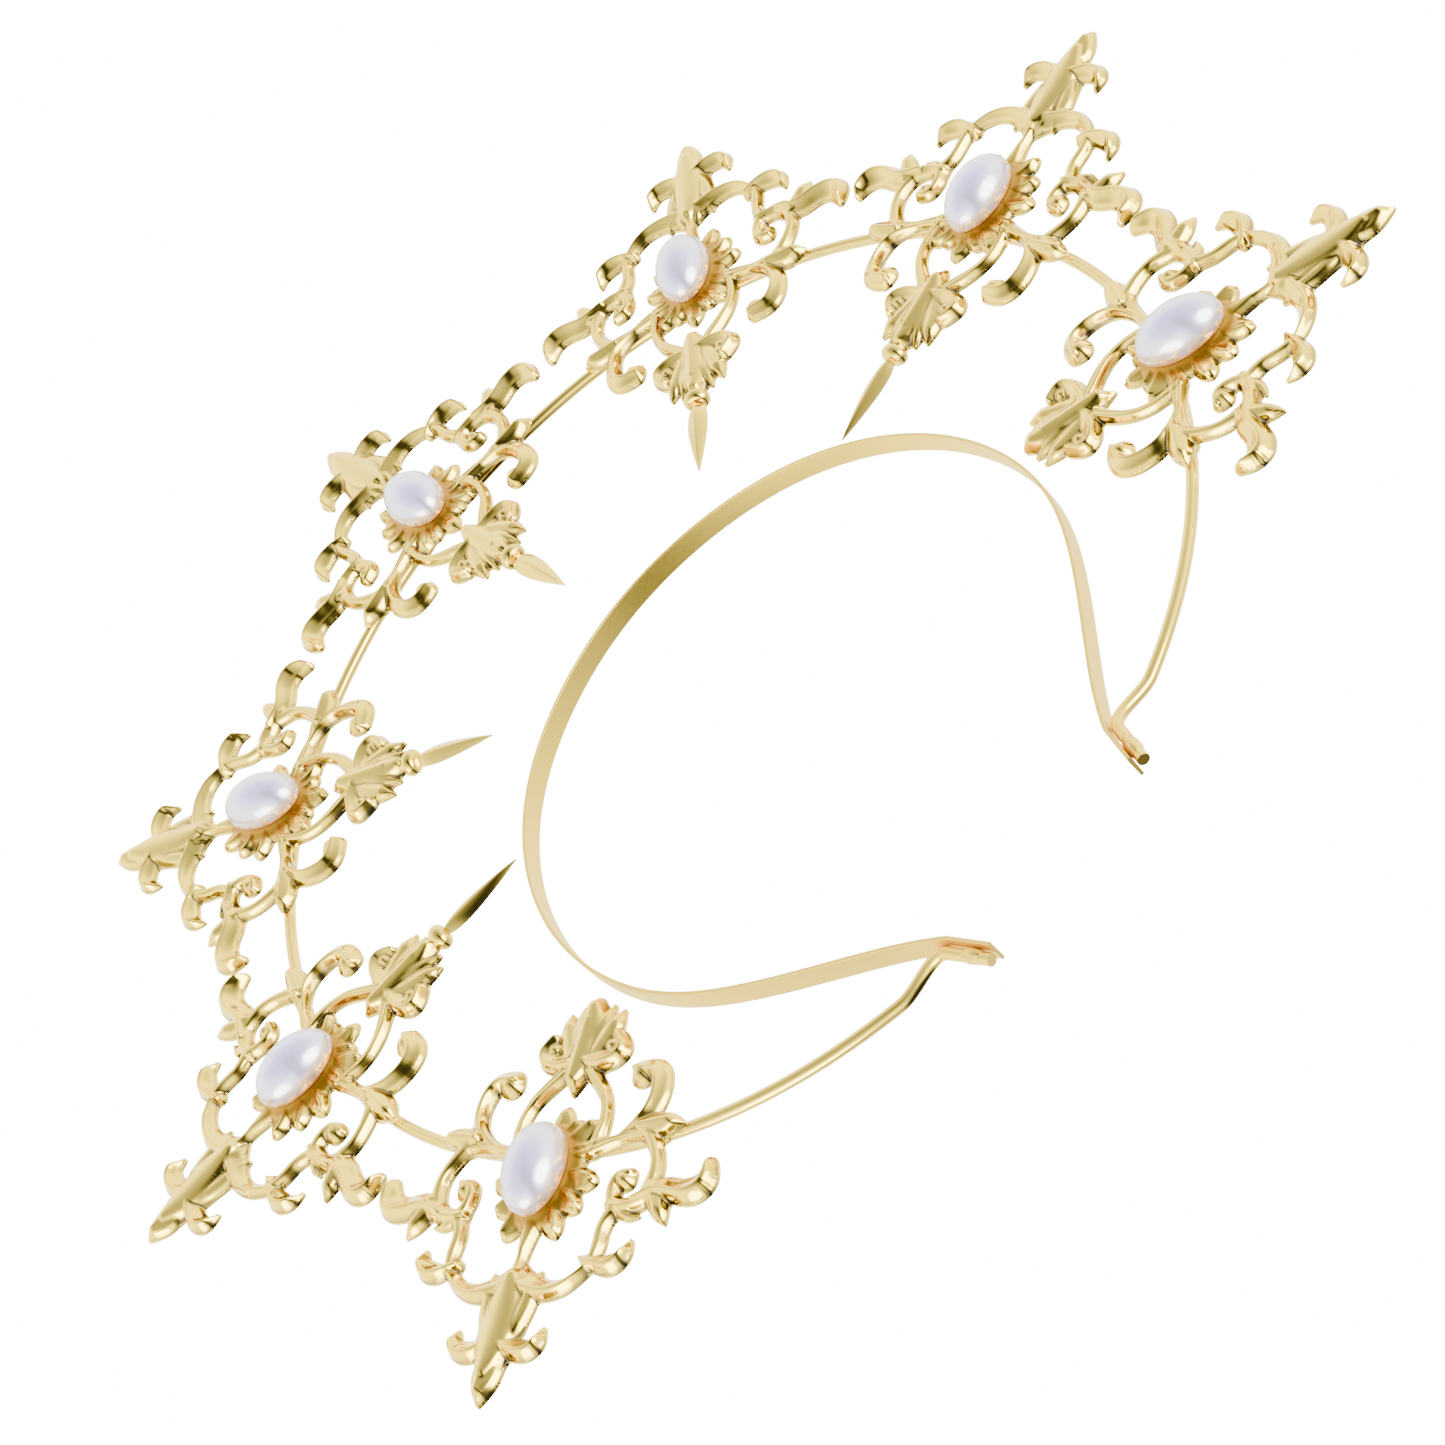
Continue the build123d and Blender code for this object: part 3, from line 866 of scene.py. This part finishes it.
def pearl_material(sizes):
    """Imitation pearl: milky with a cool body, clouds of pink, and a warm rim painted as the gold's
    reflection and glow in its see-through edge.
    """
    name = "pearl_nacre"
    if name in bpy.data.materials:
        return bpy.data.materials[name]
    material, tree, shader = new_material(name)
    where = add_node(tree, "ShaderNodeTexCoord")
    parts = add_node(tree, "ShaderNodeSeparateXYZ")
    tree.links.new(where.outputs["Object"], parts.inputs[0])
    # painted reflection of the gold: warm at the pearl's foot, fading out higher up
    lift = add_node(tree, "ShaderNodeMapRange")
    foot = SEAT_H + GLUE_T
    set_inputs(lift, {"From Min": -foot * MM, "From Max": -(foot + PEARL_RIM_RISE) * MM})
    tree.links.new(parts.outputs["Y"], lift.inputs["Value"])
    cloud = add_node(tree, "ShaderNodeTexNoise")
    set_inputs(cloud, {"Scale": 130, "Detail": 2})
    tree.links.new(where.outputs["Object"], cloud.inputs["Vector"])
    body = add_node(tree, "ShaderNodeMix", data_type="RGBA")
    set_inputs(body, {"A": (*sizes.pearl_cool, 1), "B": (*sizes.pearl_pink, 1)})
    tree.links.new(cloud.outputs["Fac"], body.inputs["Factor"])
    rim = add_node(tree, "ShaderNodeMix", data_type="RGBA")
    set_inputs(rim, {"A": (*sizes.pearl_rim_reflection, 1)})
    tree.links.new(lift.outputs["Result"], rim.inputs["Factor"])
    tree.links.new(body.outputs["Result"], rim.inputs["B"])
    tree.links.new(rim.outputs["Result"], shader.inputs["Base Color"])
    look = {
        "Roughness": 0.24,
        "Metallic": 0.5,
        "Coat Weight": 1,
        "Coat Roughness": 0.06,
        "Subsurface Weight": 0.2,
        "Subsurface Radius": (1, 0.7, 0.6),
        "Subsurface Scale": 0.0015,
        "Sheen Weight": 0.25,
        "Sheen Roughness": 0.4,
    }
    set_inputs(shader, look)
    return material


def glue_material(sizes):
    """Clear amber glue."""
    name = "amber_glue"
    if name in bpy.data.materials:
        return bpy.data.materials[name]
    material, tree, shader = new_material(name)
    marks = place_group(tree, polish_group(), {"Smoothness": 0.12, "Wave Depth": 0.00003})
    look = {"Base Color": (*sizes.boss_shade_and_glue, 1), "Subsurface Weight": 0.5, "Subsurface Scale": 0.001}
    set_inputs(shader, look)
    tree.links.new(marks.outputs["Roughness"], shader.inputs["Roughness"])
    tree.links.new(marks.outputs["Normal"], shader.inputs["Normal"])
    return material


# ---------------------------------------------------------------- settings


class CrownSettings(bpy.types.PropertyGroup):
    """Sizes and colours of the crown."""

    ring_radius: bpy.props.FloatProperty(
        name="Ring radius", description="Radius of the halo wire's middle", default=0.104, unit="LENGTH"
    )
    wire_diameter: bpy.props.FloatProperty(
        name="Wire diameter", description="Thickness of the halo wire", default=0.0024, unit="LENGTH"
    )
    band_width: bpy.props.FloatProperty(
        name="Band width", description="Width of the headband strip", default=0.005, unit="LENGTH"
    )
    band_thickness: bpy.props.FloatProperty(
        name="Band thickness", description="Thickness of the headband strip", default=0.0007, unit="LENGTH"
    )
    pearl_width: bpy.props.FloatProperty(
        name="Pearl width", description="Width of an oval pearl", default=0.012, unit="LENGTH"
    )
    pearl_length: bpy.props.FloatProperty(
        name="Pearl length", description="Length of an oval pearl", default=0.018, unit="LENGTH"
    )
    gold_light: bpy.props.FloatVectorProperty(
        name="Gold", description="Gold tone on the crests", default=(1.0, 0.70, 0.045), subtype="COLOR"
    )
    # painted crease shade, also the tone of faint random clouds
    gold_shade_and_cloud: bpy.props.FloatVectorProperty(
        name="Deep gold", description="Gold tone in the hollows", default=(0.22, 0.17, 0.06), subtype="COLOR"
    )
    # painted shade and amber glow on the boss beside the pearl, also the amber glue's own colour
    boss_shade_and_glue: bpy.props.FloatVectorProperty(
        name="Warm gold",
        description="Gold tone beside the pearl",
        default=(0.34, 0.135, 0.002),
        subtype="COLOR",
    )
    pearl_cool: bpy.props.FloatVectorProperty(
        name="Pearl", description="Cool body colour of a pearl", default=(0.90, 0.86, 0.94), subtype="COLOR"
    )
    pearl_pink: bpy.props.FloatVectorProperty(
        name="Pearl clouds", description="Pink clouds in a pearl", default=(0.94, 0.85, 0.86), subtype="COLOR"
    )
    # painted reflection and glow of the gold in the pearl's lower rim
    pearl_rim_reflection: bpy.props.FloatVectorProperty(
        name="Pearl rim", description="Warm rim of a pearl", default=(0.80, 0.45, 0.12), subtype="COLOR"
    )


# ---------------------------------------------------------------- the pieces


def tip_frame():
    """Start, direction and outward direction of the right-hand band tip, in millimetres."""
    along = np.array([-sin(TIP_LEAN), 0, -cos(TIP_LEAN)])
    out = np.array([cos(TIP_LEAN), 0, -sin(TIP_LEAN)])
    top = np.array([TIP_TOP[0], 0, TIP_TOP[1]])
    return top, along, out


def mirrored(points):
    """Right-hand points led on from their mirror image on the left."""
    left = [(-x, y, z) for x, y, z in points][:0:-1]
    return left + [tuple(p) for p in points]


def hermite(p0, d0, p1, d1, count):
    """Points of a curve from p0 to p1 that leaves and arrives along unit directions."""
    t = np.linspace(0, 1, count)[:, None]
    return cubic(t, p0, d0, p1, d1, np.linalg.norm(p1 - p0))


def wire_route(radius, diameter):
    """The halo wire's middle from the top of the ring down to its right-hand end."""
    top, along, out = tip_frame()
    turns = np.linspace(0, RING_END, 130)
    ring = [(radius * sin(t), -WIRE_H, radius * cos(t)) for t in turns]
    ring_dir = np.array([cos(RING_END), 0, -sin(RING_END)])
    start = top + out * (TIP_GAP + diameter / 2)
    bend = hermite(np.array(ring[-1]), ring_dir, start, along, 24)
    return ring + [tuple(p) for p in bend[1:]] + [tuple(start + along * TIP_LENGTH)]


def band_route(thickness):
    """The headband's middle from its top down to its right-hand end."""
    top, along, out = tip_frame()
    inner = top - out * (thickness / 2)
    stations = BAND_STATIONS + [(inner[0], inner[2])]
    path = smooth_path(stations, 16, ends=(np.array([1.0, 0.0]), np.array([along[0] * 1.9, along[2]])))
    end = inner + along * TIP_LENGTH
    return [(x, 0, z) for x, z in path] + [(end[0], 0, end[2])]


def add_swept(name, node, route, width, thickness, corner, slot, material):
    """Add one piece that keeps its section along a route."""
    values = {"Width": width, "Thickness": thickness, "Corner": corner}
    mesh = run_tree(node, path_curve(name + "_path", route), sweep_tree(), values, material)
    outward(mesh)
    add_piece(name, mesh, [node])


class CROWN_OT_headband(bpy.types.Operator):
    """Make the flat strip that sits on the head"""

    bl_idname = "crown.headband"
    bl_label = "Headband"

    def execute(self, context):
        s = context.scene.crown
        route = mirrored(band_route(s.band_thickness / MM))
        section = (s.band_width, s.band_thickness, BAND_CORNER * s.band_thickness)
        add_swept("headband_strip", "headband", route, *section, "gilt_band", gold_material("band_gold"))
        return {"FINISHED"}


class CROWN_OT_halo_wire(bpy.types.Operator):
    """Make the round wire ring"""

    bl_idname = "crown.halo_wire"
    bl_label = "Halo wire"

    def execute(self, context):
        s = context.scene.crown
        route = mirrored(wire_route(s.ring_radius / MM, s.wire_diameter / MM))
        section = (s.wire_diameter, s.wire_diameter, WIRE_CORNER * s.wire_diameter)
        add_swept("halo_ring_wire", "halo_wire", route, *section, "gilt_wire", gold_material("wire_gold"))
        return {"FINISHED"}


def make_row(prefix, masters, material):
    """Place one piece for each ornament from its master mesh; masters gives each ornament's mesh."""
    for number in range(1, COUNT + 1):
        values = {"Count": COUNT, "Step": STEP, "Keep": number - 1}
        mesh = run_tree(f"{prefix}_{number}", masters[number - 1], row_tree(), values, material)
        add_piece(f"{prefix}_{number}_looks", mesh, [f"{prefix}_{number}"])


class CROWN_OT_castings(bpy.types.Operator):
    """Make the filigree castings, with spears on all but the two at the ends of the row"""

    bl_idname = "crown.castings"
    bl_label = "Castings"

    def execute(self, context):
        shell = casting_shell()
        plain = casting_mesh("casting_plain", shell, False)
        spear = casting_mesh("casting_spear", shell, True)
        masters = [plain] + [spear] * (COUNT - 2) + [plain]
        make_row("filigree", masters, gold_material("cast_gold"))
        return {"FINISHED"}


DOME_SIDES = 96
DOME_RINGS = 36
POLE_LEAN = 0.04            # lean of the ring nearest the pole


def dome_mesh(name, half_a, half_b, height, base_h, sink, rim):
    """An oval dome, widest at the sink height above its flat back, with a rounded lower rim."""
    turn = np.linspace(0, 2 * pi, DOME_SIDES + 1)[:-1]
    low = np.arccos(-(sink - rim) / height)
    leans = np.linspace(POLE_LEAN, low, DOME_RINGS)
    profile = [(sin(lean), sink + height * cos(lean)) for lean in leans]
    edge = sin(low)
    for lean in np.linspace(0, pi / 2, 5)[1:]:
        profile.append((edge - (rim / half_a) * (1 - cos(lean)), rim * (1 - sin(lean))))
    rings = []
    for scale, lift in profile:
        a = half_a * scale * np.cos(turn)
        b = PEARL_B + half_b * scale * np.sin(turn)
        rings.append(np.c_[a, b, np.full(DOME_SIDES, base_h + lift)])
    ends = [(0, PEARL_B, base_h + sink + height), (0, PEARL_B, base_h)]
    verts = np.vstack(rings + [ends])
    mesh = new_mesh(name, to_row(verts), ring_faces(len(rings), DOME_SIDES))
    outward(mesh)
    return mesh


class CROWN_OT_pearls(bpy.types.Operator):
    """Make the oval pearls"""

    bl_idname = "crown.pearls"
    bl_label = "Pearls"

    def execute(self, context):
        s = context.scene.crown
        half_a = s.pearl_width / MM / 2
        half_b = s.pearl_length / MM / 2
        pearl = dome_mesh("pearl_master", half_a, half_b, half_a, SEAT_H + GLUE_T, PEARL_SINK, 0.3)
        make_row("pearl", [pearl] * COUNT, pearl_material(s))
        return {"FINISHED"}


class CROWN_OT_glue(bpy.types.Operator):
    """Make the thin pads of glue under the pearls"""

    bl_idname = "crown.glue"
    bl_label = "Glue"

    def execute(self, context):
        pad = dome_mesh("glue_master", SEAT_TOP[0] + 0.2, SEAT_TOP[1] + 0.2, GLUE_T, SEAT_H - 0.1, 0.2, 0.1)
        make_row("pearl_glue", [pad] * COUNT, glue_material(context.scene.crown))
        return {"FINISHED"}


BLOB_SIDES = 28
BLOB_RINGS = 16
BLOB_POLE = 0.08            # lean of the rings nearest the poles
BLOB_SWELL = 0.07           # size of the lumps against the blob
WIRE_SOLDER_HALF = (2.4, 1.9, 1.35)
WIRE_SOLDER_LIFT = 0.2      # solder's middle against the wire's
TIP_SOLDER_HALF = (0.35 * TIP_LENGTH, 1.7, 1.4)
TIP_SOLDER_AT = (0.55 * TIP_LENGTH, 1.45)       # along the tip and out from its face


def blob_mesh(places, half_sizes, seed):
    """Lumps of solder: rounded, a little uneven, each with its own place and turn."""
    rng = np.random.default_rng(seed)
    turn = np.linspace(0, 2 * pi, BLOB_SIDES + 1)[:-1]
    verts = []
    faces = []
    for where, axes in places:
        start = sum(len(v) for v in verts)
        bumps = rng.normal(0, 1, (3, 3))
        shifts = rng.uniform(0, 2 * pi, 3)
        rings = []
        for lean in np.linspace(BLOB_POLE, pi - BLOB_POLE, BLOB_RINGS):
            level = np.full(BLOB_SIDES, cos(lean))
            spot = np.c_[sin(lean) * np.cos(turn), sin(lean) * np.sin(turn), level]
            swell = sum(np.sin(spot @ bumps[k] * 2.2 + shifts[k]) for k in range(3))
            rings.append(spot * (1 + BLOB_SWELL * swell)[:, None])
        local = np.vstack(rings + [[(0, 0, 1), (0, 0, -1)]]) * np.array(half_sizes)
        verts.append(np.asarray(where) + local @ np.asarray(axes))
        faces += [tuple(v + start for v in f) for f in ring_faces(BLOB_RINGS, BLOB_SIDES)]
    return np.vstack(verts), faces


class CROWN_OT_wire_solder(bpy.types.Operator):
    """Make the solder that joins the wire to the back of each casting"""

    bl_idname = "crown.wire_solder"
    bl_label = "Wire solder"

    def execute(self, context):
        radius = context.scene.crown.ring_radius / MM
        masters = []
        for number in range(COUNT):
            places = []
            for side in (-1, 1):
                lean = side * JOINT_A / radius
                along = (cos(lean), -sin(lean), 0)
                out = (sin(lean), cos(lean), 0)
                b = radius * cos(lean) - DATUM_R
                where = (radius * sin(lean), b, WIRE_H + WIRE_SOLDER_LIFT)
                places.append((where, (along, out, (0, 0, 1))))
            verts, faces = blob_mesh(places, WIRE_SOLDER_HALF, 20 + number)
            mesh = new_mesh("wire_solder_master", to_row(verts), faces)
            outward(mesh)
            masters.append(mesh)
        make_row("wire_solder", masters, gold_material("solder_gold"))
        return {"FINISHED"}


class CROWN_OT_tip_solder(bpy.types.Operator):
    """Make the solder between each wire end and its band tip"""

    bl_idname = "crown.tip_solder"
    bl_label = "Tip solder"

    def execute(self, context):
        top, along, out = tip_frame()
        for name, side, seed in (("tip_solder_right", 1, 41), ("tip_solder_left", -1, 42)):
            where = top + along * TIP_SOLDER_AT[0] + out * TIP_SOLDER_AT[1]
            flip = np.array([side, 1, 1])
            axes = (along * flip, np.array([0, 1, 0]), out * flip)
            verts, faces = blob_mesh([(where * flip, axes)], TIP_SOLDER_HALF, seed)
            mesh = new_mesh(name, verts, faces)
            mesh.materials.append(gold_material("solder_gold"))
            outward(mesh)
            add_piece(name + "_looks", mesh, [name])
        return {"FINISHED"}


# ---------------------------------------------------------------- the stage


FLOOR_Z = -0.8
FLOOR_REACH = 4.0
CAMERA_AT = (-0.0915, -0.4387, -0.5679)
CAMERA_RIGHT = (0.60838, 0.57464, -0.54741)
CAMERA_DOWN = (-0.78502, 0.53712, -0.30862)
CAMERA_AHEAD = (0.11668, 0.61749, 0.77788)
CAMERA_LENS = 95.07
STUDIO_UP = (0.0, -1.0, 0.0)            # the crown lies on its back in the studio
STUDIO_AWAY = (0.149, 0.0, 0.989)
STUDIO_SIDE = (0.989, 0.0, -0.149)
TENT_BRIGHT = 3.6
TENT_TOP = 0.9
TABLE_DIM = 0.75
GAP_INNER = 0.08
GAP_OUTER = 0.34
GAP_DIM = 0.95
SOFT_BOXES = [              # direction, cosines of the inner and outer edge, and brightness
    ((0.487, -0.389, -0.780), 0.96, 0.90, 14.0),
    ((-0.842, -0.065, -0.530), 0.965, 0.91, 12.0),
]
BACKDROP = 16.0
SHADE_TINT = (0.85, 0.92, 2.2)          # the tent's shaded parts are cooler than its lit ones
SHADE_LEVEL = 0.4


def along(tree, where, toward):
    """How far a direction points the given way, -1 to 1."""
    dot = add_node(tree, "ShaderNodeVectorMath", operation="DOT_PRODUCT")
    dot.inputs[1].default_value = toward
    tree.links.new(where, dot.inputs[0])
    return dot.outputs["Value"]


def eased(tree, value, start, end, low, high):
    """Low below the start and high above the end, with a soft change between them."""
    ease = add_node(tree, "ShaderNodeMapRange", interpolation_type="SMOOTHSTEP")
    set_inputs(ease, {"From Min": start, "From Max": end, "To Min": low, "To Max": high})
    tree.links.new(value, ease.inputs["Value"])
    return ease.outputs["Result"]


def dimmed(tree, level, first, second, amount):
    """The level taken down by the amount where both masks are full."""
    mask = math_node(tree, "MULTIPLY", first, second)
    cut = math_node(tree, "SUBTRACT", 1, math_node(tree, "MULTIPLY", mask, amount))
    return math_node(tree, "MULTIPLY", level, cut)


def studio_world():
    """A white tent with two soft boxes beside a dim gap in front, and a white backdrop."""
    world = bpy.data.worlds.new("studio")
    world.use_nodes = True
    tree = world.node_tree
    back = tree.nodes["Background"]
    where = add_node(tree, "ShaderNodeTexCoord").outputs["Generated"]
    away = along(tree, where, STUDIO_AWAY)
    above = along(tree, where, STUDIO_UP)
    beside = math_node(tree, "ABSOLUTE", along(tree, where, STUDIO_SIDE))
    level = eased(tree, above, 0.35, 1.0, TENT_BRIGHT, TENT_TOP)
    low = eased(tree, above, -0.25, 0.05, 1, 0)
    level = dimmed(tree, level, low, eased(tree, away, -0.9, 0.5, 1, 0), TABLE_DIM)
    middle = eased(tree, beside, GAP_INNER, GAP_OUTER, 1, 0)
    level = dimmed(tree, level, middle, eased(tree, away, -0.25, 0.3, 1, 0), GAP_DIM)
    for toward, inner, outer, power in SOFT_BOXES:
        level = math_node(tree, "ADD", level, eased(tree, along(tree, where, toward), outer, inner, 0, power))
    tint = add_node(tree, "ShaderNodeMix", data_type="RGBA")
    set_inputs(tint, {"A": (*SHADE_TINT, 1), "B": (1, 1, 1, 1)})
    tree.links.new(eased(tree, level, SHADE_LEVEL, TENT_BRIGHT, 0, 1), tint.inputs["Factor"])
    tree.links.new(tint.outputs["Result"], back.inputs["Color"])
    seen = add_node(tree, "ShaderNodeLightPath").outputs["Is Camera Ray"]
    extra = math_node(tree, "MULTIPLY", seen, BACKDROP)
    tree.links.new(math_node(tree, "MAXIMUM", level, extra), back.inputs["Strength"])
    bpy.context.scene.world = world


class CROWN_OT_stage(bpy.types.Operator):
    """Make the floor, the soft lights and the camera"""

    bl_idname = "crown.stage"
    bl_label = "Stage"

    def execute(self, context):
        mesh = bpy.data.meshes.new("floor")
        sides = ((-1, -1), (1, -1), (1, 1), (-1, 1))
        corners = [(FLOOR_REACH * x, FLOOR_REACH * y, FLOOR_Z) for x, y in sides]
        mesh.from_pydata(corners, [], [(0, 1, 2, 3)])
        material, tree, shader = new_material("pale_floor")
        set_inputs(shader, {"Base Color": (0.85, 0.85, 0.85, 1), "Roughness": 0.7})
        mesh.materials.append(material)
        floor = bpy.data.objects.new("floor", mesh)
        context.scene.collection.objects.link(floor)
        floor.visible_glossy = False
        studio_world()

        lens = bpy.data.cameras.new("camera")
        lens.lens = CAMERA_LENS
        lens.sensor_width = 36
        lens.clip_start = 0.01
        lens.clip_end = 100
        camera = bpy.data.objects.new("camera", lens)
        right, down, ahead = Vector(CAMERA_RIGHT), Vector(CAMERA_DOWN), Vector(CAMERA_AHEAD)
        turn = Matrix((right, -down, -ahead)).transposed()
        camera.matrix_world = Matrix.Translation(CAMERA_AT) @ turn.to_4x4()
        context.scene.collection.objects.link(camera)
        context.scene.camera = camera
        return {"FINISHED"}


PIECES = (
    CROWN_OT_headband,
    CROWN_OT_halo_wire,
    CROWN_OT_castings,
    CROWN_OT_pearls,
    CROWN_OT_glue,
    CROWN_OT_wire_solder,
    CROWN_OT_tip_solder,
    CROWN_OT_stage,
)


class CROWN_PT_panel(bpy.types.Panel):
    """Lists the crown's settings and pieces"""

    bl_label = "Halo crown"
    bl_idname = "CROWN_PT_panel"
    bl_space_type = "VIEW_3D"
    bl_region_type = "UI"
    bl_category = "Crown"

    def draw(self, context):
        for key in CrownSettings.__annotations__:
            self.layout.prop(context.scene.crown, key)
        for piece in PIECES:
            self.layout.operator(piece.bl_idname)


def register():
    bpy.utils.register_class(CrownSettings)
    bpy.types.Scene.crown = bpy.props.PointerProperty(type=CrownSettings)
    for piece in PIECES:
        bpy.utils.register_class(piece)
    bpy.utils.register_class(CROWN_PT_panel)


def unregister():
    bpy.utils.unregister_class(CROWN_PT_panel)
    for piece in reversed(PIECES):
        bpy.utils.unregister_class(piece)
    del bpy.types.Scene.crown
    bpy.utils.unregister_class(CrownSettings)


def main():
    register()
    bpy.ops.crown.headband()
    bpy.ops.crown.halo_wire()
    bpy.ops.crown.castings()
    bpy.ops.crown.pearls()
    bpy.ops.crown.glue()
    bpy.ops.crown.wire_solder()
    bpy.ops.crown.tip_solder()
    bpy.ops.crown.stage()


if __name__ == "__main__":
    main()
